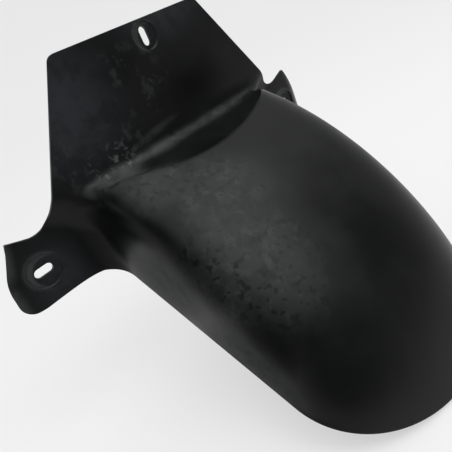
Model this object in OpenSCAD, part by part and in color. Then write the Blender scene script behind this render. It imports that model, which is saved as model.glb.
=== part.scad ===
// Motorcycle mudguard: one moulded plastic shell. An upright fixing panel with two
// ears carries a domed hood that follows the wheel.
// Millimetres. X runs across, +Z is up the face of the panel and the hood points to -Y
// and down. The origin is midway between the two ear slots, level with the floor of
// their seats.

/* [Shell] */
// Thickness of the moulded wall
wall = 3; // [2:0.1:4]

/* [Panel] */
// Angle between the panel and a square to the hood's rim, in degrees
panel_lean = 27; // [15:1:33]
// Height of the panel along its own face, from the fold to the top edge
panel_h = 92; // [80:1:105]
// Width of the straight top edge, corner to corner
top_w = 131; // [100:1:150]
// Width of the panel at the level of the fold
foot_w = 241; // [226:1:252]
// Radius of the two top corners
top_corner_r = 7; // [3:0.5:15]

/* [Ears] */
// Distance between the two ear slots
ear_spacing = 284; // [272:1:300]
// Distance of the ear slots below the fold, along the panel
ear_slot_drop = 28.5; // [25:0.5:32]
// Distance from an ear slot to the end of its ear
ear_reach = 26; // [22:0.5:30]
// Distance of the lower edge of the ears below the fold
ear_drop = 52.5; // [48:0.5:56]
// Distance that the ears stand behind the face of the panel
ear_back = 10.5; // [4:0.5:14]
// Distance that the end of each ear curls back
ear_lip = 7; // [0:0.5:10]
// Radius of the hollow corner between ear and panel
neck_r = 19; // [10:1:26]

/* [Hood] */
// Width of the hood where it leaves the panel
hood_w = 186; // [176:1:192]
// Length of the hood, from the fold to the middle of its free edge
hood_len = 256; // [230:1:280]
// Length of the straight side edges before the rounded end
side_len = 185; // [160:1:205]
// Height of the crown above the rim
crown_h = 84; // [76:0.5:92]
// Distance from the fold to the highest point of the crown
crown_peak = 28; // [20:1:45]
// Squareness of the arch at the panel: 2 is an ellipse, higher has tighter shoulders
arch_power = 7; // [5:0.1:8]
// Height of the straight fold between panel and hood, above the rim
fold_h = 62; // [56:0.5:66]
// Length of the crescent-shaped facet in front of the fold, on the middle line
facet_len = 48; // [36:1:56]
// Reach of the blend between the side walls and the ears, at the rim
side_blend = 14; // [10:0.5:18]
// Reach of the same blend at the shoulders of the hood
shoulder_blend = 22; // [14:0.5:24]
// Reach of the blend along the fold
fold_blend = 18; // [12:0.5:20]

/* [Slots] */
// Width of each fixing slot
slot_w = 7; // [5:0.1:9]
// Length of each fixing slot, end to end
slot_len = 14; // [11:0.5:18]
// Diameter of the sunk seat round each ear slot
ear_seat_d = 26; // [20:0.5:28]
// Diameter of the sunk seat round the top slot
top_seat_d = 21; // [19:0.5:21.5]
// Depth of the seats
seat_depth = 1.2; // [0.6:0.1:1.6]
// Distance of the top slot below the top edge
top_slot_down = 12; // [12:0.5:24]
// Distance of the top slot to the side of the middle line
top_slot_side = 9.5; // [0:0.5:16]

/* [Hidden] */
PLATE_STEPS = 8;
BLEND_STEPS = 6;
FACET_STEPS = 3;
HOOD_STEPS = 16;
ROWS = PLATE_STEPS + BLEND_STEPS + FACET_STEPS + HOOD_STEPS;
half_w = hood_w / 2;
ear_x = ear_spacing / 2;
ear_end_x = ear_x + ear_reach;
bend_w = 24;

// Radius of the crown's circle, which passes its peak and meets the rim at the free end
crown_r = (pow(hood_len - crown_peak, 2) + crown_h * crown_h) / (2 * crown_h);

function mix(a, b, f) = a + (b - a) * f;
function clamp01(f) = max(0, min(1, f));
function smooth(f) = let (c = clamp01(f)) c * c * (3 - 2 * c);
function unit(v) = v / max(norm(v), 1e-9);

// Height of the crown at a distance forward of the fold
function crown_z(d) = sqrt(pow(crown_r, 2) - pow(d - crown_peak, 2)) - (crown_r - crown_h);

// The arch at a fraction s of the hood's length, as an angle a from 0 at the rim to 90
// on the middle line. It is square-shouldered at the panel and an ellipse at the end.
function arch_shape(s) = mix(arch_power, 2, pow(clamp01(s), 2));
function arch_side(a, s = 0) = pow(abs(cos(a)), 2 / arch_shape(s));
function arch_rise(a, s = 0) = pow(abs(sin(a)), 2 / arch_shape(s));

// Running length along a list of points
function lengths(p, i = 1, sum = 0, out = [0]) =
    i >= len(p) ? out
    : let (s = sum + norm(p[i] - p[i - 1])) lengths(p, i + 1, s, concat(out, [s]));

// Table that turns a fraction of the arch's length into the arch angle
arch_points = [for (k = [0:60]) let (a = 90 * pow(k / 60, 2) * (3 - 2 * k / 60))
    [half_w * arch_side(a), crown_z(0) * arch_rise(a), a]];
arch_lengths = lengths([for (p = arch_points) [p[0], p[1]]]);
arch_table = [for (k = [0:60]) [arch_lengths[k] / arch_lengths[60], arch_points[k][2]]];

// Fraction of the arch's length at the height of the fold
fold_at = lookup(fold_h, [for (k = [0:60]) [arch_points[k][1], arch_lengths[k] / arch_lengths[60]]]);

// Distance behind the panel's face: the ears sit back beyond a bend that slants from the
// hood's shoulder to the hollow corner, and their ends curl back again
function set_back(x, v) =
    ear_back * smooth(((abs(x) - half_w + 4) * 0.57 - v * 0.82) / bend_w)
    + ear_lip * pow(clamp01((abs(x) - ear_x - 12) / (ear_reach - 12)), 1.6);

// Point of the part that is e behind the panel's face and v above the fold
function placed(x, e, v) = [x, e - ear_back - seat_depth, v + ear_slot_drop];

// Point of the panel or an ear at x across and v up the panel's face
function on_plate(x, v) = placed(x, set_back(x, v), v);

// Point of the hood that is d forward of the fold and z above the plane of the rim
function on_hood(x, d, z) = placed(x,
    -d * cos(panel_lean) - (z - fold_h) * sin(panel_lean),
    -d * sin(panel_lean) + (z - fold_h) * cos(panel_lean));

// Direction square to the plane of the rim
rim_up = [0, -sin(panel_lean), cos(panel_lean)];

// Distance of a plate point behind the fold, measured along the plane of the rim
function behind_fold(x, v) = sin(panel_lean) * v + cos(panel_lean) * set_back(x, v);

// Position up the panel's face of a height above the rim
function up_face(x, z, n = 4) =
    n == 0 ? (z - fold_h) / cos(panel_lean)
    : (z - fold_h + sin(panel_lean) * set_back(x, up_face(x, z, n - 1))) / cos(panel_lean);

// Points of an arc that rounds the corner b between a and c
function rounded(a, b, c, r, n = 6) =
    let (
        u = unit(a - b),
        w = unit(c - b),
        half = acos(max(-1, min(1, u * w))) / 2,
        reach = r / tan(half),
        centre = b + unit(u + w) * r / sin(half),
        from = b + u * reach - centre,
        to = b + w * reach - centre,
        turn = 180 - 2 * half
    )
    [for (k = [0:n]) centre + (from * sin(turn * (1 - k / n)) + to * sin(turn * k / n)) / sin(turn)];

// The n points that divide the way from a to b evenly, without its ends
function between(a, b, n) = [for (k = [1:n]) mix(a, b, k / (n + 1))];

// Left half of the plate's outline, from below the ear slot round the ear and up to the
// middle of the top edge
edge_slope = (foot_w - top_w) / 2 / panel_h;
ear_top = -8;
low_start = [-ear_x - ear_reach * 0.6, -ear_drop];
low_corner = [-ear_end_x - 1, -ear_drop];
end_bow = [-ear_end_x + 1, -0.5 * ear_drop];
ear_tip = [-ear_end_x + 15.5, 1.5];
neck = [-foot_w / 2 + edge_slope * ear_top, ear_top];
shoulder = [-top_w / 2, panel_h];
top_mid = [0, panel_h];
low_arc = rounded(low_start, low_corner, end_bow, 8, 5);
bow_arc = rounded(low_corner, end_bow, ear_tip, 45, 3);
neck_arc = rounded(ear_tip, neck, shoulder, neck_r, 7);
top_arc = rounded(neck, shoulder, top_mid, top_corner_r, 4);
outline = concat(
    [low_start], low_arc, bow_arc, [ear_tip], neck_arc,
    between(neck_arc[7], top_arc[0], 7), top_arc,
    between(top_arc[4], top_mid, 6), [top_mid]
);
HALF = len(outline) - 1;
CROSS = 2 * HALF;
outline_lengths = lengths(outline);

// Fraction of the arch's length that each point of the outline is joined to, set at the
// tip of the ear, the hollow, the foot of the panel's edge and the top corner
join_table = [
    [0, 0],
    [outline_lengths[11], 0.55 * fold_at],
    [outline_lengths[15], 0.82 * fold_at],
    [outline_lengths[19], 1.02 * fold_at],
    [outline_lengths[29], mix(fold_at, 1, 0.4)],
    [outline_lengths[HALF], 1]
];

// Length of the crescent facet at x across
function facet_at(x) = facet_len * pow(max(0, 1 - pow(x / (half_w * 0.98), 2)), 0.65);

// Point of the hood on the arch angle a, at a fraction s of its length
function hood_point(a, s) = on_hood(
    -half_w * arch_side(a, s),
    s * mix(side_len, hood_len, sin(a)),
    max(0, crown_z(s * hood_len)) * arch_rise(a, s));

// One line that runs from the plate's outline to the hood's free edge: its points, its
// arch angle and the fraction of the hood's length at which it has joined the hood
function line_at(i) =
    let (
        a = lookup(lookup(outline_lengths[i], join_table), arch_table),
        o = outline[i],
        run = mix(side_len, hood_len, sin(a)),
        rise = arch_rise(a),
        x = -half_w * arch_side(a),
        z = min(fold_h, crown_z(0) * rise),
        v = up_face(x, z),
        meet = on_plate(x, v),
        start = max(-behind_fold(x, v), facet_at(x)) / run,
        edge = hood_point(a, start),
        r = rise < 0.72 ? mix(side_blend, shoulder_blend, rise / 0.72)
            : mix(shoulder_blend, fold_blend, smooth((rise - 0.72) / 0.25)),
        gap = norm(o - [x, v]),
        ease = mix(5, 1, clamp01(rise / 0.4)),
        near = 1 - r / gap,
        plate = [for (k = [0:PLATE_STEPS]) let (g = near * (1 - cos(180 * k / PLATE_STEPS)) / 2)
            on_plate(mix(o[0], x, g), mix(o[1], v, pow(g, ease)))],
        last = plate[PLATE_STEPS],
        facet = norm(edge - meet),
        from = start + max(0, r - facet) / run,
        past = facet > r ? mix(meet, edge, r / facet) : hood_point(a, from),
        rest = from + 0.03 * clamp01(1 - (facet - r) / 10),
        reach = hood_point(a, rest),
        blend = [for (k = [1:BLEND_STEPS]) let (g = k / BLEND_STEPS)
            last * (1 - g) * (1 - g) + meet * 2 * g * (1 - g) + past * g * g],
        flat = [for (k = [1:FACET_STEPS]) mix(past, reach, k / FACET_STEPS)],
        hood = [for (k = [1:HOOD_STEPS]) hood_point(a, mix(rest, 1, k / HOOD_STEPS))]
    )
    [concat(plate, blend, flat, hood), a, rest];

left = [for (i = [0:HALF]) line_at(i)];
function flipped(p) = [-p[0], p[1], p[2]];
outer = [for (i = [0:CROSS])
    i <= HALF ? left[i][0] : [for (p = left[CROSS - i][0]) flipped(p)]];

// Direction in which the plate faces at one of its points
function plate_facing(p, d = 0.1) =
    let (x = p[0], v = p[2] - ear_slot_drop)
    unit([
        (set_back(x + d, v) - set_back(x - d, v)) / (2 * d),
        -1,
        (set_back(x, v + d) - set_back(x, v - d)) / (2 * d)
    ]);

// Direction in which the hood faces at a grid point; along the rim it stays in the rim's plane
function hood_facing(i, j) =
    i > HALF ? flipped(hood_facing(CROSS - i, j))
    : let (
        a = left[i][1],
        s = mix(left[i][2], 1, (j - ROWS + HOOD_STEPS) / HOOD_STEPS),
        lower = a < 45 ? a * 0.98 : 90 - max(0.02, (90 - a) * 1.02),
        upper = a < 45 ? a * 1.02 + 1e-6 : 90 - (90 - a) * 0.98,
        du = hood_point(upper, s) - hood_point(lower, s),
        dv = hood_point(a, min(1, s + 0.01)) - hood_point(a, s - 0.01),
        n = unit(cross(dv, du)),
        level = unit(cross(j == ROWS ? du : dv, rim_up))
    )
    i == 0 || j == ROWS ? level / max(0.65, level * n) : n;

// Direction of the outer surface at any grid point
function facing(i, j) =
    j <= PLATE_STEPS ? plate_facing(outer[i][j])
    : j > ROWS - HOOD_STEPS ? hood_facing(i, j)
    : let (
        du = outer[min(CROSS, i + 1)][j] - outer[max(0, i - 1)][j],
        dv = outer[i][j + 1] - outer[i][j - 1],
        n = unit(cross(dv, du)),
        rim = j > PLATE_STEPS + BLEND_STEPS && (i == 0 || i == CROSS),
        level = rim ? unit(n - rim_up * (n * rim_up)) : n
    )
    rim ? level / max(0.65, level * n) : n;

inner = [for (i = [0:CROSS]) [for (j = [0:ROWS]) outer[i][j] - wall * facing(i, j)]];

// Closed shell between the outer and inner surfaces
module shell() {
    cols = ROWS + 1;
    count = (CROSS + 1) * cols;
    points = [for (side = [outer, inner]) for (line = side) for (p = line) p];
    skin = [for (i = [0:CROSS - 1]) for (j = [0:ROWS - 1]) each
        let (a = i * cols + j, b = a + cols, c = b + 1, d = a + 1)
        [[a, b, c], [a, c, d], [count + a, count + c, count + b], [count + a, count + d, count + c]]];
    loop = concat(
        [for (j = [0:ROWS]) j],
        [for (i = [1:CROSS]) i * cols + ROWS],
        [for (j = [ROWS - 1:-1:0]) CROSS * cols + j],
        [for (i = [CROSS - 1:-1:1]) i * cols]
    );
    rim = [for (k = [0:len(loop) - 1]) each
        let (a = loop[k], b = loop[(k + 1) % len(loop)])
        [[a, b, count + b], [a, count + b, count + a]]];
    polyhedron(points = points, faces = concat(skin, rim), convexity = 8);
}

// Slot-shaped cutter along X, straight through the plate
module slot_cutter() {
    straight = slot_len - slot_w;
    for (side = [-1, 1])
        translate([side * straight / 2, 0, 0])
            rotate([90, 0, 0]) cylinder(h = 24, d = slot_w, center = true, $fn = 48);
    cube([straight, 24, slot_w], center = true);
}

// Boss that keeps the floor of a seat as thick as the wall; the floor is at Y = 0
module seat_boss(d) {
    sunk = wall / 2 - seat_depth;
    translate([0, sunk, 0])
        rotate([-90, 0, 0]) cylinder(h = wall - sunk, d = d + 2, $fn = 64);
}

// Sunk seat in front of a slot
module seat_cutter(d) {
    rotate([90, 0, 0]) cylinder(h = 12, d = d, $fn = 64);
}

// Places its children at the top slot, on the floor of its seat
module at_top_slot() {
    translate(placed(top_slot_side, seat_depth, panel_h - top_slot_down)) children();
}

module mudguard() {
    color([0.07, 0.07, 0.075])
    difference() {
        union() {
            shell();
            for (side = [-1, 1]) translate([side * ear_x, 0, 0]) seat_boss(ear_seat_d);
            at_top_slot() seat_boss(top_seat_d);
        }
        for (side = [-1, 1]) translate([side * ear_x, 0, 0]) {
            seat_cutter(ear_seat_d);
            slot_cutter();
        }
        at_top_slot() {
            seat_cutter(top_seat_d);
            rotate([0, 90, 0]) slot_cutter();
        }
    }
}

mudguard();
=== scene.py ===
"""Look of a moulded motorcycle mudguard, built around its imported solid.

The shell is made again in fine mesh from the same sizes as the solid: an upright fixing
panel with two slotted ears, a straight fold with a crescent facet, and a domed hood.
Lengths are in millimetres until the mesh is made, and metres after that.
"""
import logging
import math
from dataclasses import dataclass, field
from enum import Enum
from typing import Any

import bmesh
import bpy
import numpy as np
from mathutils import Matrix, Vector


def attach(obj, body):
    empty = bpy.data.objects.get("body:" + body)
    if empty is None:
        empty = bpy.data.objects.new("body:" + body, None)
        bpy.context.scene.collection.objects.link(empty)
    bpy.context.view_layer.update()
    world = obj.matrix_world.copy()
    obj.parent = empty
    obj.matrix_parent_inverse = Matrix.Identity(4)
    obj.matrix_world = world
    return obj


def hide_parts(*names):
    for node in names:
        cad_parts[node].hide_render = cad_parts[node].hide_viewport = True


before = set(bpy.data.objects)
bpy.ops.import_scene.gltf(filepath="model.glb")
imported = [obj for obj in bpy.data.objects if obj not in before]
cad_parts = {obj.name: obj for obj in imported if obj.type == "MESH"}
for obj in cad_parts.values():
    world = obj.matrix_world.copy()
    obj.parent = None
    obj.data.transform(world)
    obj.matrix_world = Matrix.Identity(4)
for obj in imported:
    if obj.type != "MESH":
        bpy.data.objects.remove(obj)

LOG = logging.getLogger("mudguard")
MM = 0.001
SEAT_SIDES = 96
SLOT_ARC_STEPS = 24
CUTTER_REACH = 9
LEAST_SLANT = 0.65


class Rows(Enum):
    """Number of mesh steps along each stretch of a line from panel to free edge."""

    PLATE = 24
    BLEND = 16
    FACET = 8
    HOOD = 64


@dataclass(frozen=True)
class ShellSizes:
    """Sizes of the moulded shell in millimetres and degrees, as in the solid."""

    wall: float = 3.0
    panel_lean: float = 27.0
    panel_h: float = 92.0
    top_w: float = 131.0
    foot_w: float = 241.0
    top_corner_r: float = 7.0
    ear_spacing: float = 284.0
    ear_slot_drop: float = 28.5
    ear_reach: float = 26.0
    ear_drop: float = 52.5
    ear_back: float = 10.5
    ear_lip: float = 7.0
    neck_r: float = 19.0
    hood_w: float = 186.0
    hood_len: float = 256.0
    side_len: float = 185.0
    crown_h: float = 84.0
    crown_peak: float = 28.0
    arch_power: float = 7.0
    fold_h: float = 62.0
    facet_len: float = 48.0
    side_blend: float = 14.0
    shoulder_blend: float = 22.0
    fold_blend: float = 18.0
    bend_w: float = 24.0
    slot_w: float = 7.0
    slot_len: float = 14.0
    ear_seat_d: float = 26.0
    top_seat_d: float = 21.0
    seat_depth: float = 1.2
    top_slot_down: float = 12.0
    top_slot_side: float = 9.5


def hex_to_linear(code: str) -> tuple[float, float, float, float]:
    """Turns an sRGB hex colour into linear light.

    Args:
        code: Six hex digits with a leading hash.

    Returns:
        Red, green, blue and an alpha of one.
    """
    parts = [int(code[i : i + 2], 16) / 255 for i in (1, 3, 5)]
    red, green, blue = (c / 12.92 if c <= 0.04045 else ((c + 0.055) / 1.055) ** 2.4 for c in parts)
    return red, green, blue, 1.0


def add_node(
    tree: bpy.types.NodeTree,
    kind: str,
    settings: dict[Any, Any] | None = None,
    links: dict[Any, bpy.types.NodeSocket] | None = None,
) -> bpy.types.Node:
    """Adds a node with its settings and links.

    Args:
        tree: The node tree that receives the node.
        kind: Blender's name of the node type.
        settings: Properties of the node, or values of its inputs by name or number.
        links: Sockets that feed its inputs, by input name or number.

    Returns:
        The new node.
    """
    node = tree.nodes.new(kind)
    for name, value in (settings or {}).items():
        if isinstance(name, str) and hasattr(node, name):
            setattr(node, name, value)
        else:
            node.inputs[name].default_value = value
    for name, source in (links or {}).items():
        tree.links.new(source, node.inputs[name])
    return node


def mix(a: Any, b: Any, f: Any) -> Any:
    """Goes from a to b by the fraction f."""
    return a + (b - a) * f


def smooth(f: Any) -> Any:
    """Eases a fraction in and out, and holds it between 0 and 1."""
    c = np.clip(f, 0, 1)
    return c * c * (3 - 2 * c)


def unit(v: np.ndarray) -> np.ndarray:
    """Scales vectors to a length of one."""
    return v / np.maximum(np.linalg.norm(v, axis=-1, keepdims=True), 1e-9)


def rounded(a: np.ndarray, b: np.ndarray, c: np.ndarray, r: float, n: int) -> list[np.ndarray]:
    """Rounds the corner b between a and c.

    Args:
        a: Point before the corner.
        b: The corner.
        c: Point after the corner.
        r: Radius of the rounding.
        n: Number of steps.

    Returns:
        The n + 1 points of the arc.
    """
    u, w = unit(a - b), unit(c - b)
    half = math.acos(float(np.clip(u @ w, -1, 1))) / 2
    centre = b + unit(u + w) * r / math.sin(half)
    start = b + u * r / math.tan(half) - centre
    end = b + w * r / math.tan(half) - centre
    turn = math.pi - 2 * half
    return [
        centre + (start * math.sin(turn * (1 - k / n)) + end * math.sin(turn * k / n)) / math.sin(turn)
        for k in range(n + 1)
    ]


def between(a: np.ndarray, b: np.ndarray, n: int) -> list[np.ndarray]:
    """Returns the n points that divide the way from a to b, without its ends."""
    return [mix(a, b, k / (n + 1)) for k in range(1, n + 1)]


@dataclass
class ShellSurface:
    """Front and back skin of the shell as a grid of points.

    Each line of the grid starts on the outline of panel and ear, crosses the blend at the
    fold or the side wall, and ends on the free edge of the hood.
    """

    sizes: ShellSizes = field(default_factory=ShellSizes)

    def __post_init__(self) -> None:
        """Works out the values that several methods share."""
        z = self.sizes
        lean = math.radians(z.panel_lean)
        self.sin_lean, self.cos_lean = math.sin(lean), math.cos(lean)
        self.half_w = z.hood_w / 2
        self.ear_x = z.ear_spacing / 2
        self.crown_r = ((z.hood_len - z.crown_peak) ** 2 + z.crown_h**2) / (2 * z.crown_h)
        steps = np.linspace(0, 1, 1201)
        angle = math.pi / 2 * steps**2 * (3 - 2 * steps)
        across = self.half_w * self.arch_side(angle, 0)
        up = self.crown_z(0) * self.arch_rise(angle, 0)
        length = np.r_[0, np.cumsum(np.hypot(np.diff(across), np.diff(up)))]
        self.arch_angle, self.arch_share = angle, length / length[-1]
        self.fold_share = float(np.interp(z.fold_h, up, self.arch_share))
        self.rim_up = np.array([0, -self.sin_lean, self.cos_lean])

    def crown_z(self, d: Any) -> Any:
        """Height of the crown at a distance forward of the fold."""
        z = self.sizes
        return np.sqrt(self.crown_r**2 - (d - z.crown_peak) ** 2) - (self.crown_r - z.crown_h)

    def arch_power_at(self, s: Any) -> Any:
        """Squareness of the arch at the fraction s of the hood's length."""
        return mix(self.sizes.arch_power, 2.0, np.clip(s, 0, 1) ** 2)

    def arch_side(self, a: Any, s: Any) -> Any:
        """Share of the half width that the arch reaches at the angle a."""
        return np.abs(np.cos(a)) ** (2 / self.arch_power_at(s))

    def arch_rise(self, a: Any, s: Any) -> Any:
        """Share of the height that the arch reaches at the angle a."""
        return np.abs(np.sin(a)) ** (2 / self.arch_power_at(s))

    def set_back(self, x: Any, v: Any) -> Any:
        """Distance behind the panel's face at x across and v above the fold."""
        z = self.sizes
        bend = ((np.abs(x) - self.half_w + 4) * 0.57 - v * 0.82) / z.bend_w
        curl = np.clip((np.abs(x) - self.ear_x - 12) / (z.ear_reach - 12), 0, None)
        return z.ear_back * smooth(bend) + z.ear_lip * np.clip(curl, 0, 1) ** 1.6

    def placed(self, x: Any, e: Any, v: Any) -> np.ndarray:
        """Point that is e behind the panel's face and v above the fold."""
        z = self.sizes
        x, e, v = np.broadcast_arrays(x, e - z.ear_back - z.seat_depth, v + z.ear_slot_drop)
        return np.stack([x, e, v], axis=-1).astype(float)

    def on_plate(self, x: Any, v: Any) -> np.ndarray:
        """Point of the panel or an ear at x across and v above the fold."""
        return self.placed(x, self.set_back(x, v), v)

    def hood_point(self, a: Any, s: Any) -> np.ndarray:
        """Point of the hood on the arch angle a at the fraction s of its length."""
        z = self.sizes
        d = s * mix(z.side_len, z.hood_len, np.sin(a))
        x = -self.half_w * self.arch_side(a, s)
        h = np.maximum(0, self.crown_z(np.minimum(s, 1) * z.hood_len)) * self.arch_rise(a, s) - z.fold_h
        return self.placed(x, -d * self.cos_lean - h * self.sin_lean, -d * self.sin_lean + h * self.cos_lean)

    def outline(self) -> tuple[np.ndarray, np.ndarray]:
        """Left half of the plate's outline, from below the ear slot to the top middle.

        Returns:
            The outline's points, and for each the share of the arch that it is joined to.
        """
        z = self.sizes
        slope = (z.foot_w - z.top_w) / 2 / z.panel_h
        end_x = self.ear_x + z.ear_reach
        low_start = np.array([-self.ear_x - z.ear_reach * 0.6, -z.ear_drop])
        low_corner = np.array([-end_x - 1, -z.ear_drop])
        end_bow = np.array([-end_x + 1, -0.5 * z.ear_drop])
        ear_tip = np.array([-end_x + 15.5, 1.5])
        neck = np.array([-z.foot_w / 2 - slope * 8, -8.0])
        shoulder = np.array([-z.top_w / 2, z.panel_h])
        top_mid = np.array([0.0, z.panel_h])
        low_arc = rounded(low_start, low_corner, end_bow, 8, 14)
        bow_arc = rounded(low_corner, end_bow, ear_tip, 45, 10)
        neck_arc = rounded(ear_tip, neck, shoulder, z.neck_r, 21)
        top_arc = rounded(neck, shoulder, top_mid, z.top_corner_r, 12)
        start = [low_start, *low_arc, *bow_arc, *between(bow_arc[-1], ear_tip, 4)]
        points = [*start, ear_tip, *between(ear_tip, neck_arc[0], 2), *neck_arc]
        tip_i, neck_i = len(start), len(points) - 1
        points += between(neck_arc[-1], top_arc[0], 26)
        top_i = len(points) + 6
        points += [*top_arc, *between(top_arc[-1], top_mid, 26), top_mid]
        p = np.array(points)
        length = np.r_[0, np.cumsum(np.linalg.norm(np.diff(p, axis=0), axis=1))]
        stations = [0, length[tip_i], length[neck_i - 12], length[neck_i], length[top_i], length[-1]]
        fold = self.fold_share
        shares = [0, 0.55 * fold, 0.82 * fold, 1.02 * fold, mix(fold, 1, 0.4), 1]
        return p, np.interp(length, stations, shares)

    def line(self, o: np.ndarray, share: float) -> tuple[np.ndarray, float, float]:
        """Works out one line from the outline to the free edge of the hood.

        Args:
            o: Point of the outline, across and above the fold.
            share: Share of the arch that the line is joined to.

        Returns:
            The line's points with the panel first, its arch angle, and the fraction of the
            hood's length at which it has joined the hood.
        """
        z = self.sizes
        a = float(np.interp(share, self.arch_share, self.arch_angle))
        run = mix(z.side_len, z.hood_len, math.sin(a))
        rise = float(self.arch_rise(a, 0))
        x = -self.half_w * float(self.arch_side(a, 0))
        height = min(z.fold_h, self.crown_z(0) * rise)
        v = (height - z.fold_h) / self.cos_lean
        for _ in range(6):
            v = (height - z.fold_h + self.sin_lean * self.set_back(x, v)) / self.cos_lean
        meet = self.on_plate(x, v)
        behind = self.sin_lean * v + self.cos_lean * self.set_back(x, v)
        facet_at = z.facet_len * max(0.0, 1 - (x / (self.half_w * 0.98)) ** 2) ** 0.65
        start = max(-behind, facet_at) / run
        edge = self.hood_point(a, start)
        r = mix(z.side_blend, z.shoulder_blend, rise / 0.72)
        if rise >= 0.72:
            r = mix(z.shoulder_blend, z.fold_blend, float(smooth((rise - 0.72) / 0.25)))
        gap = math.hypot(o[0] - x, o[1] - v)
        ease = mix(5.0, 1.0, min(1.0, rise / 0.4))
        g = (1 - r / gap) * (1 - np.cos(np.pi * np.arange(Rows.PLATE.value + 1) / Rows.PLATE.value)) / 2
        plate = self.on_plate(mix(o[0], x, g), mix(o[1], v, g**ease))
        facet = float(np.linalg.norm(edge - meet))
        first = start + max(0.0, r - facet) / run
        past = mix(meet, edge, r / facet) if facet > r else self.hood_point(a, first)
        rest = first + 0.03 * min(1.0, max(0.0, 1 - (facet - r) / 10))
        reach = self.hood_point(a, rest)
        g = (np.arange(1, Rows.BLEND.value + 1) / Rows.BLEND.value)[:, None]
        blend = plate[-1] * (1 - g) ** 2 + meet * 2 * g * (1 - g) + past * g**2
        g = (np.arange(1, Rows.FACET.value + 1) / Rows.FACET.value)[:, None]
        flat = mix(past, reach, g)
        steps = np.arange(1, Rows.HOOD.value + 1) / Rows.HOOD.value
        hood = self.hood_point(a, mix(rest, 1.0, steps))
        return np.vstack([plate, blend, flat, hood]), a, rest

    def skins(self) -> tuple[np.ndarray, np.ndarray]:
        """Front and back skin of the whole shell.

        Returns:
            Two arrays of lines by rows by coordinates.
        """
        outline, shares = self.outline()
        made = [self.line(o, s) for o, s in zip(outline, shares)]
        left = np.array([points for points, _, _ in made])
        front = np.concatenate([left, left[-2::-1] * [-1, 1, 1]])
        angles = np.array([a for _, a, _ in made])[:, None]
        rests = np.array([rest for _, _, rest in made])[:, None]
        steps = np.arange(1, Rows.HOOD.value + 1) / Rows.HOOD.value
        hood = self.hood_facing(angles, mix(rests, 1.0, steps))
        facing = self.facing(front)
        facing[:, -Rows.HOOD.value :] = np.concatenate([hood, hood[-2::-1] * [-1, 1, 1]])
        return front, front - self.sizes.wall * facing

    def hood_facing(self, a: np.ndarray, s: np.ndarray) -> np.ndarray:
        """Direction in which the left half of the hood faces, level with the rim along it.

        Args:
            a: Arch angle of each line, as a column.
            s: Fractions of the hood's length, one row for each line.

        Returns:
            One vector for each point, a little longer than one where it is slanted.
        """
        quarter = math.pi / 2
        to_top = quarter - a
        lower = np.where(a < quarter / 2, a * 0.98, quarter - np.maximum(4e-4, to_top * 1.02))
        upper = np.where(a < quarter / 2, a * 1.02 + 2e-8, quarter - to_top * 0.98)
        du = self.hood_point(upper, s) - self.hood_point(lower, s)
        dv = self.hood_point(a, np.minimum(1, s + 0.005)) - self.hood_point(a, s - 0.005)
        n = unit(np.cross(dv, du))
        level = n.copy()
        level[0] = unit(np.cross(dv[0], self.rim_up))
        level[:, -1] = unit(np.cross(du[:, -1], self.rim_up))
        slant = np.maximum(LEAST_SLANT, np.sum(level * n, axis=-1, keepdims=True))
        return level / slant

    def facing(self, front: np.ndarray) -> np.ndarray:
        """Direction of the plate and the blend at each grid point.

        Args:
            front: The front skin.

        Returns:
            One vector for each point, a little longer than one where it is slanted.
        """
        du, dv = np.empty_like(front), np.empty_like(front)
        du[1:-1], du[0], du[-1] = front[2:] - front[:-2], front[1] - front[0], front[-1] - front[-2]
        dv[:, 1:-1] = front[:, 2:] - front[:, :-2]
        dv[:, 0], dv[:, -1] = front[:, 1] - front[:, 0], front[:, -1] - front[:, -2]
        n = unit(np.cross(dv, du))
        last = Rows.PLATE.value
        x, v, d = front[:, : last + 1, 0], front[:, : last + 1, 2] - self.sizes.ear_slot_drop, 0.1
        slope_x = (self.set_back(x + d, v) - self.set_back(x - d, v)) / (2 * d)
        slope_v = (self.set_back(x, v + d) - self.set_back(x, v - d)) / (2 * d)
        n[:, : last + 1] = unit(np.stack([slope_x, -np.ones_like(x), slope_v], axis=-1))
        for side in (0, -1):
            rim = n[side, last + Rows.BLEND.value + 1 :]
            level = unit(rim - self.rim_up * (rim @ self.rim_up)[:, None])
            rim[:] = level / np.maximum(LEAST_SLANT, np.sum(level * rim, axis=-1, keepdims=True))
        return n


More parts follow.
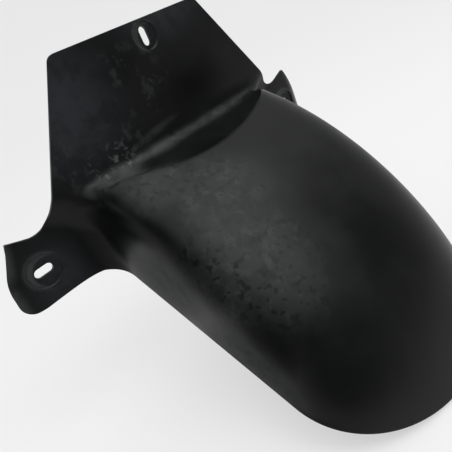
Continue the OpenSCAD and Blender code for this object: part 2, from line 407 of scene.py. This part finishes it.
@dataclass(frozen=True)
class WearAndLightPlace:
    """A soft ellipsoid place on the part in millimetres, for one layer of dust, scuffs, duller skin and
    painted light.

    Attributes:
        middle: Centre of the place.
        reach: Half size along X, Y and Z at which the layer has faded out.
        core: Share of the reach inside which the layer is full.
        turn: Turn about the Y axis in degrees.
        clean: Offset along X and Z of a clean middle, which leaves the layer as a crescent.
        clean_share: Size of the clean middle as a share of the reach, or 0 for none.
    """

    middle: tuple[float, float, float]
    reach: tuple[float, float, float]
    core: float = 0.35
    turn: float = 0.0
    clean: tuple[float, float] = (0.0, 0.0)
    clean_share: float = 0.0

    def mask(self, tree: bpy.types.NodeTree, mm: bpy.types.NodeSocket) -> bpy.types.NodeSocket:
        """Adds the nodes that give 1 in the middle of the place and 0 outside it.

        Args:
            tree: The material's node tree.
            mm: Position on the part in millimetres.

        Returns:
            The mask.
        """
        local = add_node(
            tree,
            "ShaderNodeMapping",
            {"vector_type": "TEXTURE", 1: self.middle, 2: (0.0, math.radians(self.turn), 0.0), 3: self.reach},
            {0: mm},
        )
        away = add_node(tree, "ShaderNodeVectorMath", {"operation": "LENGTH"}, {0: local.outputs[0]})
        mask = add_node(
            tree,
            "ShaderNodeMapRange",
            {"interpolation_type": "SMOOTHSTEP", 1: 1.0, 2: self.core, 3: 0.0, 4: 1.0},
            {0: away.outputs["Value"]},
        )
        if not self.clean_share:
            return mask.outputs[0]
        x, y, z = self.middle
        reach = tuple(self.clean_share * r for r in self.reach)
        hole = WearAndLightPlace((x + self.clean[0], y, z + self.clean[1]), reach, 0.85).mask(tree, mm)
        rest = {"operation": "SUBTRACT", "use_clamp": True}
        return add_node(tree, "ShaderNodeMath", rest, {0: mask.outputs[0], 1: hole}).outputs[0]


@dataclass(frozen=True)
class SpotPattern:
    """Scattered spots of one size, cut out of a noise.

    Attributes:
        size_mm: Spacing of the spots.
        low: Level of the noise at which a spot begins.
        high: Level of the noise at which it is full.
        detail: Number of finer layers.
    """

    size_mm: float
    low: float
    high: float
    detail: float


@dataclass(frozen=True)
class MouldedPolypropylene:
    """Black moulded polypropylene that years of road dust have dulled.

    The clean skin gives soft, wide reflections. Hazed places look greyer and flatter, and on the crown that
    greyer skin is partly painted sheen for the soft box's light. Dust flecks lie above the left end of the
    fold, paler strips run along the side walls, painted highlights lie along the fold, the curled ear ends
    and the seat rims, painted light lifts the crescent facet at the fold's left end, and a fine moulded grain
    breaks up the gloss.
    Each share says how strongly a layer covers what lies under it.
    """

    name: str = "moulded_polypropylene"
    black: str = "#08090A"
    faded: str = "#0E0F10"
    # Greyer hazing; on the crown it is partly painted sheen that stands in for the soft box's light.
    haze_and_sheen: str = "#363938"
    # Lighter grey for smudges and pale wall strips, and for painted sheen on the crown and painted highlights
    # and painted light at the fold, the ear ends and the seat rims.
    pale_wear_and_highlight: str = "#484B4A"
    film: str = "#34383C"
    dust: str = "#646866"
    roughness: float = 0.33
    faded_roughness: float = 0.42
    haze_roughness: float = 0.55
    ior: float = 1.49
    specular: float = 0.2
    matt_specular: float = 0.08
    # A real moulded grain is finer, some tenths of a millimetre. It is drawn coarser, so that
    # it still breaks up the gloss in a picture and doesn't turn to noise.
    grain_mm: float = 0.9
    grain_depth_mm: float = 0.12
    grain_strength: float = 0.35
    mottle: SpotPattern = SpotPattern(38.0, 0.38, 0.68, 3.0)
    blotch: SpotPattern = SpotPattern(13.0, 0.34, 0.58, 5.0)
    light_spots: SpotPattern = SpotPattern(7.8, 0.52, 0.66, 4.0)
    bare_specks: SpotPattern = SpotPattern(5.2, 0.58, 0.65, 0.8)
    flecks: SpotPattern = SpotPattern(5.0, 0.5, 0.64, 4.0)
    speck_share: float = 0.7
    thinnest: float = 0.55
    panel_film_share: float = 0.75
    ear_film_share: float = 0.6
    # These two shares lay the greyer crown layers, which are partly painted sheen.
    crown_film_sheen_share: float = 0.3
    crown_haze_sheen_share: float = 0.8
    light_share: float = 0.35
    # Share of the painted highlight along the fold, partly scuffs.
    scuff_and_highlight_share: float = 0.4
    smudge_share: float = 0.3
    # Share of the painted light at the fold's left end.
    foot_painted_light_share: float = 0.8
    # Share of the painted highlights on the ear ends and seat rims.
    lip_and_seat_highlight_share: float = 0.85
    fleck_share: float = 0.65
    pale_wall_strip_share: float = 0.45
    edge_round_mm: float = 0.8
    panel_front: float = -11.0
    panel_back: float = -9.5
    # Greyer hazing on the crown: partly real hazing, partly painted sheen that stands in for the soft box's
    # light.
    crown_haze_and_sheen: tuple[WearAndLightPlace, ...] = (
        WearAndLightPlace((-58.0, -120.0, -24.0), (46.0, 66.0, 62.0), 0.25),
        WearAndLightPlace((-38.0, -88.0, 8.0), (44.0, 44.0, 34.0), 0.2),
        WearAndLightPlace((-62.0, -58.0, 22.0), (34.0, 34.0, 24.0), 0.2),
    )
    # Thin greyer layer over the crown's middle, partly real hazing and partly painted sheen.
    crown_film_and_sheen: tuple[WearAndLightPlace, ...] = (
        WearAndLightPlace((-36.0, -148.0, -46.0), (48.0, 52.0, 48.0), 0.1),
        WearAndLightPlace((-20.0, -96.0, 2.0), (50.0, 50.0, 40.0), 0.1),
    )
    panel_film: tuple[WearAndLightPlace, ...] = (
        WearAndLightPlace((-75.0, -12.0, 88.0), (58.0, 14.0, 64.0), 0.1),
        WearAndLightPlace((30.0, -12.0, 125.0), (64.0, 14.0, 36.0), 0.1),
    )
    # Painted highlight along the light band at the fold, partly scuffs.
    fold_scuff_and_highlight: tuple[WearAndLightPlace, ...] = (
        WearAndLightPlace((-30.0, -15.0, 33.0), (66.0, 12.0, 8.0), 0.2),
        WearAndLightPlace((45.0, -17.0, 33.0), (50.0, 12.0, 5.5), 0.2),
        WearAndLightPlace((-20.0, -12.0, 45.0), (34.0, 8.0, 4.5), 0.2, -7.0),
    )
    # Painted light that lifts the dark crescent facet at the fold's left end.
    fold_foot_painted_light: tuple[WearAndLightPlace, ...] = (WearAndLightPlace((-68.0, -24.0, 31.0), (26.0, 26.0, 13.0), 0.3),)
    dust_flecks: tuple[WearAndLightPlace, ...] = (WearAndLightPlace((-61.0, -13.0, 42.0), (27.0, 14.0, 17.0), 0.4),)
    smudges: tuple[WearAndLightPlace, ...] = (
        WearAndLightPlace((-94.0, -12.0, 60.0), (18.0, 9.0, 36.0), 0.2),
        WearAndLightPlace((-18.0, -12.0, 84.0), (44.0, 9.0, 40.0), 0.2),
        WearAndLightPlace((-36.0, -12.0, 56.0), (34.0, 9.0, 18.0), 0.3),
    )
    ear_film: tuple[WearAndLightPlace, ...] = (WearAndLightPlace((-135.0, -8.0, -10.0), (34.0, 22.0, 44.0), 0.1),)
    # Painted highlights: two strips along each ear's curled end, then a crescent beside each seat for the
    # light on its rim.
    lip_and_seat_highlights: tuple[WearAndLightPlace, ...] = (
        WearAndLightPlace((-161.5, 0.0, 16.0), (9.0, 20.0, 30.0), 0.15, 27.0),
        WearAndLightPlace((-170.0, 0.0, -12.0), (10.0, 20.0, 36.0), 0.15, 4.0),
        WearAndLightPlace((161.5, 0.0, 16.0), (9.0, 20.0, 30.0), 0.15, -27.0),
        WearAndLightPlace((170.0, 0.0, -12.0), (10.0, 20.0, 36.0), 0.15, -4.0),
        WearAndLightPlace((-142.0, -1.0, 0.0), (16.0, 2.7, 16.0), 0.7, 0.0, (2.8, -2.0), 0.84),
        WearAndLightPlace((142.0, -1.0, 0.0), (16.0, 2.7, 16.0), 0.7, 0.0, (2.8, -2.0), 0.84),
        WearAndLightPlace((9.5, -11.5, 108.5), (13.0, 2.7, 13.0), 0.7, 0.0, (2.4, -1.6), 0.84),
    )
    # Paler, less glossy strips along both side walls.
    pale_wall_strips: tuple[WearAndLightPlace, ...] = (
        WearAndLightPlace((-98.0, -60.0, -34.0), (11.0, 70.0, 50.0), 0.4),
        WearAndLightPlace((-97.0, -130.0, -86.0), (11.0, 70.0, 50.0), 0.4),
        WearAndLightPlace((98.0, -60.0, -34.0), (11.0, 70.0, 50.0), 0.4),
        WearAndLightPlace((97.0, -130.0, -86.0), (11.0, 70.0, 50.0), 0.4),
    )
    # Duller skin along the left shoulder, at the free end and on the panel. It was set to
    # keep those bands as dark as they look from the photograph's side, and is a guess.
    matt_band: tuple[WearAndLightPlace, ...] = (
        WearAndLightPlace((-88.0, -104.0, -24.0), (9.0, 44.0, 34.0), 0.3),
        WearAndLightPlace((-87.0, -142.0, -66.0), (10.0, 34.0, 34.0), 0.3),
        WearAndLightPlace((-74.0, -172.0, -98.0), (34.0, 36.0, 40.0), 0.1),
        WearAndLightPlace((32.0, -12.0, 62.0), (52.0, 9.0, 30.0), 0.1),
    )

    def build(self) -> bpy.types.Material:
        """Makes the material.

        Returns:
            The new material.
        """
        material = bpy.data.materials.new(self.name)
        material.use_nodes = True
        tree = material.node_tree
        tree.nodes.clear()
        coords = add_node(tree, "ShaderNodeTexCoord")
        to_mm = {"operation": "SCALE", "Scale": 1 / MM}
        mm = add_node(tree, "ShaderNodeVectorMath", to_mm, {0: coords.outputs["Object"]}).outputs[0]
        colour, rough, gloss, height = self.wear_and_light(tree, mm)
        edge = add_node(tree, "ShaderNodeBevel", {"samples": 6, "Radius": self.edge_round_mm * MM})
        bump = add_node(
            tree,
            "ShaderNodeBump",
            {"Strength": self.grain_strength, "Distance": self.grain_depth_mm * MM},
            {"Height": height, "Normal": edge.outputs[0]},
        )
        shader = add_node(
            tree,
            "ShaderNodeBsdfPrincipled",
            {"Metallic": 0.0, "IOR": self.ior},
            {
                "Base Color": colour,
                "Roughness": rough,
                "Specular IOR Level": gloss,
                "Normal": bump.outputs[0],
            },
        )
        add_node(tree, "ShaderNodeOutputMaterial", None, {"Surface": shader.outputs[0]})
        return material

    def widest(
        self, tree: bpy.types.NodeTree, mm: bpy.types.NodeSocket, places: tuple[WearAndLightPlace, ...]
    ) -> bpy.types.NodeSocket:
        """Joins the masks of several places, taking the strongest at each point.

        Args:
            tree: The material's node tree.
            mm: Position on the part in millimetres.
            places: The places to join, one at least.

        Returns:
            The joined mask.
        """
        joined = places[0].mask(tree, mm)
        for place in places[1:]:
            joined = add_node(
                tree, "ShaderNodeMath", {"operation": "MAXIMUM"}, {0: joined, 1: place.mask(tree, mm)}
            ).outputs[0]
        return joined

    def spots(
        self, tree: bpy.types.NodeTree, mm: bpy.types.NodeSocket, pattern: SpotPattern
    ) -> bpy.types.NodeSocket:
        """Gives scattered spots from a noise that is cut off between two levels.

        Args:
            tree: The material's node tree.
            mm: Position on the part in millimetres.
            pattern: Size and levels of the spots.

        Returns:
            A mask that is 1 inside the spots.
        """
        layers = {"Scale": 1 / pattern.size_mm, "Detail": pattern.detail, "Roughness": 0.6}
        noise = add_node(tree, "ShaderNodeTexNoise", layers, {"Vector": mm})
        levels = {"interpolation_type": "SMOOTHSTEP", 1: pattern.low, 2: pattern.high}
        return add_node(tree, "ShaderNodeMapRange", levels, {0: noise.outputs["Fac"]}).outputs[0]

    def wear_and_light(
        self, tree: bpy.types.NodeTree, mm: bpy.types.NodeSocket
    ) -> tuple[bpy.types.NodeSocket, bpy.types.NodeSocket, bpy.types.NodeSocket, bpy.types.NodeSocket]:
        """Lays fading, hazing, scuffs and dust over the clean black, with painted sheen, painted highlights
        and painted light on the crown, the fold, the ear ends and the seat rims.

        Args:
            tree: The material's node tree.
            mm: Position on the part in millimetres.

        Returns:
            Colour, roughness, specular level and height.
        """

        def times(a: bpy.types.NodeSocket, b: bpy.types.NodeSocket | float) -> bpy.types.NodeSocket:
            """Multiplies two values and holds the result between 0 and 1."""
            values = {"operation": "MULTIPLY", "use_clamp": True}
            if isinstance(b, float):
                return add_node(tree, "ShaderNodeMath", {**values, 1: b}, {0: a}).outputs[0]
            return add_node(tree, "ShaderNodeMath", values, {0: a, 1: b}).outputs[0]

        def over(
            below: bpy.types.NodeSocket | str, top: str, mask: bpy.types.NodeSocket
        ) -> bpy.types.NodeSocket:
            """Lays a colour over another where the mask is 1."""
            settings = {"data_type": "RGBA", 7: hex_to_linear(top)}
            links = {0: mask}
            if isinstance(below, str):
                settings[6] = hex_to_linear(below)
            else:
                links[6] = below
            return add_node(tree, "ShaderNodeMix", settings, links).outputs[2]

        mottle = self.spots(tree, mm, self.mottle)
        blotch = self.spots(tree, mm, self.blotch)
        light = self.spots(tree, mm, self.light_spots)
        specks = self.spots(tree, mm, self.bare_specks)
        flecks = self.spots(tree, mm, self.flecks)
        depth = add_node(tree, "ShaderNodeSeparateXYZ", None, {0: mm}).outputs["Y"]
        skin = {1: self.panel_back, 2: self.panel_front}
        front = add_node(tree, "ShaderNodeMapRange", skin, {0: depth}).outputs[0]
        crown = self.widest(tree, mm, self.crown_haze_and_sheen)
        film = times(self.widest(tree, mm, self.panel_film), front)
        ears = self.widest(tree, mm, self.ear_film)
        scuff_and_highlight = times(self.widest(tree, mm, self.fold_scuff_and_highlight), front)
        foot_painted_light = times(self.widest(tree, mm, self.fold_foot_painted_light), front)
        lip_seat_highlights = self.widest(tree, mm, self.lip_and_seat_highlights)
        dusty = times(self.widest(tree, mm, self.dust_flecks), front)
        smudged = times(self.widest(tree, mm, self.smudges), front)
        walls = self.widest(tree, mm, self.pale_wall_strips)
        bare = times(specks, self.speck_share)
        clear = add_node(tree, "ShaderNodeMath", {"operation": "SUBTRACT", 0: 1.0}, {1: bare}).outputs[0]
        thick = add_node(tree, "ShaderNodeMapRange", {3: self.thinnest, 4: 1.0}, {0: blotch}).outputs[0]
        crown_haze_sheen = times(times(crown, thick), clear)
        colour = over(self.black, self.faded, mottle)
        colour = over(colour, self.film, times(film, times(thick, self.panel_film_share)))
        colour = over(colour, self.film, times(ears, times(thick, self.ear_film_share)))
        # Greyer hazing and paler spots on the crown: partly real hazing, partly painted sheen for the soft
        # box's light.
        crown_veil_sheen = self.widest(tree, mm, self.crown_film_and_sheen)
        colour = over(colour, self.haze_and_sheen, times(crown_veil_sheen, self.crown_film_sheen_share))
        colour = over(colour, self.haze_and_sheen, times(crown_haze_sheen, self.crown_haze_sheen_share))
        paler = times(times(crown, light), clear)
        colour = over(colour, self.pale_wear_and_highlight, times(paler, self.light_share))
        # Painted highlight along the fold's light band, partly scuffs.
        colour = over(colour, self.pale_wear_and_highlight, times(scuff_and_highlight, times(blotch, self.scuff_and_highlight_share)))
        colour = over(colour, self.pale_wear_and_highlight, times(smudged, times(light, self.smudge_share)))
        # Painted light that lifts the dark crescent facet at the fold's left end.
        colour = over(colour, self.pale_wear_and_highlight, times(times(foot_painted_light, thick), self.foot_painted_light_share))
        # Painted highlights on the curled ear ends and the seat rims.
        colour = over(colour, self.pale_wear_and_highlight, times(times(lip_seat_highlights, thick), self.lip_and_seat_highlight_share))
        colour = over(colour, self.dust, times(times(dusty, flecks), self.fleck_share))
        colour = over(colour, self.pale_wear_and_highlight, times(times(walls, thick), self.pale_wall_strip_share))
        dull = times(crown, clear)
        for duller_place in (walls, foot_painted_light):
            dull = add_node(tree, "ShaderNodeMath", {"operation": "MAXIMUM"}, {0: dull, 1: duller_place}).outputs[0]
        base = add_node(tree, "ShaderNodeMapRange", {3: self.roughness, 4: self.faded_roughness}, {0: mottle})
        hazy = {"data_type": "FLOAT", 3: self.haze_roughness}
        rough = add_node(tree, "ShaderNodeMix", hazy, {0: dull, 2: base.outputs[0]})
        fine = {"Scale": 1 / self.grain_mm, "Detail": 2.0}
        grain = add_node(tree, "ShaderNodeTexNoise", fine, {"Vector": mm})
        matt = self.widest(tree, mm, self.pale_wall_strips + self.matt_band)
        gloss = add_node(tree, "ShaderNodeMapRange", {3: self.specular, 4: self.matt_specular}, {0: matt})
        return colour, rough.outputs[0], gloss.outputs[0], grain.outputs["Fac"]


@dataclass
class SeatAndSlot:
    """A sunk round seat with a slot through its floor.

    Attributes:
        place: Middle of the slot on the floor of the seat, in millimetres.
        seat_d: Diameter of the seat where it meets the plate.
        upright: True where the slot runs up the panel, and False where it runs across.
        sizes: Sizes of the shell.
    """

    place: Vector
    seat_d: float
    upright: bool
    sizes: ShellSizes

    def turned(self, profile: list[tuple[float, float]], name: str) -> bpy.types.Object:
        """Turns a profile round the seat's axis.

        Args:
            profile: Radius and Y of each ring, from one flat end to the other.
            name: Name of the cutter.

        Returns:
            The closed cutter.
        """
        bm = bmesh.new()
        turns = [2 * math.pi * k / SEAT_SIDES for k in range(SEAT_SIDES)]
        circle = [(math.cos(t), math.sin(t)) for t in turns]
        rings = [[bm.verts.new(Vector((r * c, y, r * s))) for c, s in circle] for r, y in profile]
        for low, high in zip(rings, rings[1:]):
            for k in range(SEAT_SIDES):
                n = (k + 1) % SEAT_SIDES
                bm.faces.new([low[k], low[n], high[n], high[k]])
        bm.faces.new(rings[0])
        bm.faces.new(rings[-1])
        return self.finished(bm, name)

    def finished(self, bm: bmesh.types.BMesh, name: str) -> bpy.types.Object:
        """Puts a mesh at the seat and makes an object of it, in metres.

        Args:
            bm: The mesh round the origin in millimetres, which is used up.
            name: Name of the object.

        Returns:
            The new object.
        """
        bmesh.ops.recalc_face_normals(bm, faces=bm.faces)
        bmesh.ops.translate(bm, verts=bm.verts, vec=self.place)
        bmesh.ops.scale(bm, verts=bm.verts, vec=Vector((MM, MM, MM)))
        mesh = bpy.data.meshes.new(name)
        bm.to_mesh(mesh)
        bm.free()
        return bpy.data.objects.new(name, mesh)

    def boss(self) -> bpy.types.Object:
        """Round pad behind the seat that keeps its floor as thick as the wall."""
        z = self.sizes
        r = self.seat_d / 2 + 1
        low = z.wall / 2 - z.seat_depth
        return self.turned([(r, low), (r, z.wall - 0.4), (r - 0.4, z.wall)], "boss")

    def seat(self) -> bpy.types.Object:
        """Dish in front of the slot, with a soft edge at the floor and at the plate."""
        r, d = self.seat_d / 2, self.sizes.seat_depth
        floor = [(r - 1.3, 0), (r - 0.9, -0.08 * d)]
        mouth = [(r - 0.2, -0.85 * d), (r + 0.3, -d), (r + 0.6, -CUTTER_REACH)]
        return self.turned(floor + mouth, "seat")

    def slot(self) -> bpy.types.Object:
        """Straight slot with round ends."""
        z = self.sizes
        r, straight = z.slot_w / 2, (z.slot_len - z.slot_w) / 2
        bm = bmesh.new()
        ring = []
        for side in (1, -1):
            for k in range(SLOT_ARC_STEPS + 1):
                t = math.pi * (k / SLOT_ARC_STEPS - 0.5)
                along = side * (straight + r * math.cos(t))
                across = side * r * math.sin(t)
                ring.append((across, along) if self.upright else (along, -across))
        back = [bm.verts.new(Vector((x, CUTTER_REACH, up))) for x, up in ring]
        front = [bm.verts.new(Vector((x, -CUTTER_REACH, up))) for x, up in ring]
        bm.faces.new(back)
        bm.faces.new(front)
        for k in range(len(ring)):
            n = (k + 1) % len(ring)
            bm.faces.new([back[k], back[n], front[n], front[k]])
        return self.finished(bm, "slot")


@dataclass
class MudguardShell:
    """The one moulded piece: panel, ears, fold and hood."""

    sizes: ShellSizes = field(default_factory=ShellSizes)
    finish: MouldedPolypropylene = field(default_factory=MouldedPolypropylene)
    name: str = "moulded_shell"

    def seats(self) -> list[SeatAndSlot]:
        """The two ear slots and the top slot."""
        z = self.sizes
        top = Vector((z.top_slot_side, -z.ear_back, z.panel_h - z.top_slot_down + z.ear_slot_drop))
        return [
            SeatAndSlot(Vector((-z.ear_spacing / 2, 0, 0)), z.ear_seat_d, False, z),
            SeatAndSlot(Vector((z.ear_spacing / 2, 0, 0)), z.ear_seat_d, False, z),
            SeatAndSlot(top, z.top_seat_d, True, z),
        ]

    def build(self) -> bpy.types.Object:
        """Makes the shell with its seats and slots.

        Returns:
            The finished object, linked to the scene.
        """
        front, back = ShellSurface(self.sizes).skins()
        lines, rows = front.shape[:2]
        mesh = bpy.data.meshes.new(self.name)
        index = np.arange(lines * rows).reshape(lines, rows)
        corners = [index[:-1, :-1], index[:-1, 1:], index[1:, 1:], index[1:, :-1]]
        quads = np.stack(corners, axis=-1).reshape(-1, 4)
        loop = np.r_[index[0, :], index[1:, -1], index[-1, -2::-1], index[-2:0:-1, 0]]
        after = np.roll(loop, -1)
        count = lines * rows
        edge = np.stack([loop, loop + count, after + count, after], axis=-1)
        faces = np.concatenate([quads, quads[:, ::-1] + count, edge])
        points = np.concatenate([front.reshape(-1, 3), back.reshape(-1, 3)]) * MM
        mesh.from_pydata(points.tolist(), [], faces.tolist())
        mesh.update()
        shell = bpy.data.objects.new(self.name, mesh)
        bpy.context.scene.collection.objects.link(shell)
        self.cut(shell)
        shell.data.shade_smooth()
        shell.data.set_sharp_from_angle(angle=math.radians(38))
        shell.data.materials.clear()
        shell.data.materials.append(self.finish.build())
        return shell

    def cut(self, shell: bpy.types.Object) -> None:
        """Adds the bosses, then cuts the seats and the slots.

        Args:
            shell: The bare shell, which is changed in place.
        """
        seats = self.seats()
        steps = [("UNION", seat.boss()) for seat in seats]
        steps += [("DIFFERENCE", seat.seat()) for seat in seats]
        steps += [("DIFFERENCE", seat.slot()) for seat in seats]
        for operation, cutter in steps:
            bpy.context.scene.collection.objects.link(cutter)
            modifier = shell.modifiers.new("cut", "BOOLEAN")
            modifier.operation, modifier.solver, modifier.object = operation, "EXACT", cutter
            view = bpy.context.evaluated_depsgraph_get()
            made = bpy.data.meshes.new_from_object(shell.evaluated_get(view), depsgraph=view)
            shell.modifiers.clear()
            shell.data = made
            bpy.data.objects.remove(cutter)


@dataclass
class Studio:
    """Pale sweep under the part, soft light from above and a dim room.

    Attributes:
        floor_z: Height of the flat part of the sweep in metres.
        flat_r: Radius of the flat part in metres.
        rim_r: Radius at which the sweep ends in metres.
        rim_rise: Height that it has gained there in metres.
        rim_curve: Power of that rise; 1 would be a straight cone.
        flat_rings: Mesh rings of the flat part.
        rim_rings: Mesh rings from there to the rim.
        sides: Mesh sides of each ring.
        card_turn: Direction from the white card's front edge to its back, in degrees from +Y to +X.
        card_edge: Distance of the middle of its soft front edge in that direction in metres.
        card_fade: Width of the soft edge in metres.
        card_glow: Share of the card's look that is plain white paper lit from all sides.
        ceiling_z: Height in the room, from -1 to 1, where the ceiling's light begins and is full.
        wall_x: Place to the right, from -1 to 1, where the right wall's light begins and is full.
    """

    floor_z: float = -0.1445
    flat_r: float = 1.6
    rim_r: float = 7.0
    rim_rise: float = 1.65
    rim_curve: float = 1.35
    flat_rings: int = 8
    rim_rings: int = 32
    sides: int = 96
    card_turn: float = 33.0
    card_edge: float = -0.29
    card_fade: float = 0.16
    card_glow: float = 0.55
    card_white: str = "#E2E2E2"
    floor_grey: str = "#A6A6A6"
    lamp_from: tuple[float, float, float] = (0.24, -0.46, 0.85)
    lamp_away: float = 1.3
    lamp_size: float = 0.7
    lamp_power: float = 6.0
    overhead: float = 1.6
    horizon: float = 0.08
    right_side: float = 0.65
    ceiling_z: tuple[float, float] = (0.52, 0.95)
    wall_x: tuple[float, float] = (0.71, 0.88)

    def build(self) -> None:
        """Makes the sweep, the lamp and the world."""
        self.sweep()
        self.lamp()
        self.world()

    def sweep(self) -> None:
        """Flat pale card that rises gently far from the part on all sides."""
        bm = bmesh.new()
        rings = [[bm.verts.new((0.0, 0.0, 0.0))] * self.sides]
        turns = [2 * math.pi * i / self.sides for i in range(self.sides)]
        for k in range(1, self.flat_rings + self.rim_rings + 1):
            f = max(0, k - self.flat_rings) / self.rim_rings
            r = mix(self.flat_r, self.rim_r, f) if f else self.flat_r * k / self.flat_rings
            z = self.rim_rise * f**self.rim_curve
            rings.append([bm.verts.new((r * math.sin(t), r * math.cos(t), z)) for t in turns])
        for low, high in zip(rings, rings[1:]):
            for i in range(self.sides):
                n = (i + 1) % self.sides
                bm.faces.new(list(dict.fromkeys([low[i], low[n], high[n], high[i]])))
        mesh = bpy.data.meshes.new("sweep")
        bm.to_mesh(mesh)
        bm.free()
        mesh.shade_smooth()
        floor = bpy.data.objects.new("sweep", mesh)
        floor.location.z = self.floor_z
        bpy.context.scene.collection.objects.link(floor)
        mesh.materials.append(self.card_material())

    def card_material(self) -> bpy.types.Material:
        """Matt white card that fades into a grey floor in front of the part.

        Returns:
            The material of the whole sweep.
        """
        material = bpy.data.materials.new("matt_white_card")
        material.use_nodes = True
        tree = material.node_tree
        tree.nodes.clear()
        turn = math.radians(self.card_turn)
        place = add_node(tree, "ShaderNodeTexCoord").outputs["Object"]
        along = add_node(
            tree,
            "ShaderNodeVectorMath",
            {"operation": "DOT_PRODUCT", 1: (math.sin(turn), math.cos(turn), 0.0)},
            {0: place},
        ).outputs["Value"]
        start, end = self.card_edge - self.card_fade / 2, self.card_edge + self.card_fade / 2
        card = add_node(
            tree, "ShaderNodeMapRange", {"interpolation_type": "SMOOTHSTEP", 1: start, 2: end}, {0: along}
        ).outputs[0]
        settings = {"data_type": "RGBA", 6: hex_to_linear(self.floor_grey), 7: hex_to_linear(self.card_white)}
        colour = add_node(tree, "ShaderNodeMix", settings, {0: card}).outputs[2]
        matt = add_node(tree, "ShaderNodeBsdfDiffuse", None, {"Color": colour})
        paper = add_node(tree, "ShaderNodeEmission", {"Strength": 1.0})
        ray = add_node(tree, "ShaderNodeLightPath")
        seen = ray.outputs["Is Camera Ray"]
        for kind in ("Is Glossy Ray", "Is Transmission Ray"):
            seen = add_node(
                tree, "ShaderNodeMath", {"operation": "MAXIMUM"}, {0: seen, 1: ray.outputs[kind]}
            ).outputs[0]
        shown = add_node(tree, "ShaderNodeMath", {"operation": "MULTIPLY"}, {0: seen, 1: card}).outputs[0]
        glow = {"operation": "MULTIPLY", 1: self.card_glow}
        share = add_node(tree, "ShaderNodeMath", glow, {0: shown}).outputs[0]
        looks = {0: share, 1: matt.outputs[0], 2: paper.outputs[0]}
        look = add_node(tree, "ShaderNodeMixShader", None, looks)
        add_node(tree, "ShaderNodeOutputMaterial", None, {"Surface": look.outputs[0]})
        return material

    def lamp(self) -> None:
        """Large soft box above the part, to the front and right."""
        data = bpy.data.lights.new("soft_box", "AREA")
        data.shape, data.size = "SQUARE", self.lamp_size
        data.energy = self.lamp_power
        lamp = bpy.data.objects.new("soft_box", data)
        aim = Vector(self.lamp_from).normalized()
        lamp.location = Vector((0.0, -0.1, 0.0)) + aim * self.lamp_away
        lamp.rotation_euler = aim.to_track_quat("Z", "Y").to_euler()
        lamp.visible_camera = False
        bpy.context.scene.collection.objects.link(lamp)

    def world(self) -> None:
        """Room with a white ceiling, dim walls and a lighter wall on the right."""
        world = bpy.data.worlds.new("room")
        bpy.context.scene.world = world
        world.use_nodes = True
        tree = world.node_tree
        tree.nodes.clear()
        coords = add_node(tree, "ShaderNodeTexCoord")
        parts = add_node(tree, "ShaderNodeSeparateXYZ", None, {0: coords.outputs["Generated"]})
        start, full = self.ceiling_z
        above = {"interpolation_type": "SMOOTHSTEP", 1: start, 2: full, 3: self.horizon, 4: self.overhead}
        ceiling = add_node(tree, "ShaderNodeMapRange", above, {0: parts.outputs["Z"]}).outputs[0]
        start, full = self.wall_x
        beside = {"interpolation_type": "SMOOTHSTEP", 1: start, 2: full, 3: 0.0, 4: self.right_side}
        wall = add_node(tree, "ShaderNodeMapRange", beside, {0: parts.outputs["X"]}).outputs[0]
        light = add_node(tree, "ShaderNodeMath", {"operation": "ADD"}, {0: ceiling, 1: wall})
        background = add_node(tree, "ShaderNodeBackground", {"Strength": 1.0}, {0: light.outputs[0]})
        add_node(tree, "ShaderNodeOutputWorld", None, {"Surface": background.outputs[0]})


@dataclass
class Viewpoint:
    """Camera at the photograph's viewing angle."""

    place: tuple[float, float, float] = (-0.1766, -0.2898, 0.1037)
    right: tuple[float, float, float] = (0.66266, -0.65158, -0.36921)
    up: tuple[float, float, float] = (0.56769, 0.11546, 0.81511)
    back: tuple[float, float, float] = (-0.48848, -0.74974, 0.44641)
    lens: float = 31.858

    def build(self) -> None:
        """Makes the camera and gives it to the scene."""
        data = bpy.data.cameras.new("camera")
        data.sensor_width, data.lens = 36.0, self.lens
        data.clip_start, data.clip_end = 0.01, 60.0
        camera = bpy.data.objects.new("camera", data)
        turn = Matrix((self.right, self.up, self.back)).transposed()
        camera.matrix_world = Matrix.Translation(self.place) @ turn.to_4x4()
        bpy.context.scene.collection.objects.link(camera)
        bpy.context.scene.camera = camera


def main() -> None:
    """Builds the part, the studio and the camera in order."""
    logging.basicConfig(level=logging.INFO, format="%(message)s")
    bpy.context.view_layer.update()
    shell = MudguardShell().build()
    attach(shell, "root")
    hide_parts("mudguard")
    LOG.info("%s: %d faces", shell.name, len(shell.data.polygons))
    Studio().build()
    LOG.info("studio: floor, soft box and room")
    Viewpoint().build()
    scene = bpy.context.scene
    scene.view_settings.view_transform = "Standard"


if __name__ == "__main__":
    main()
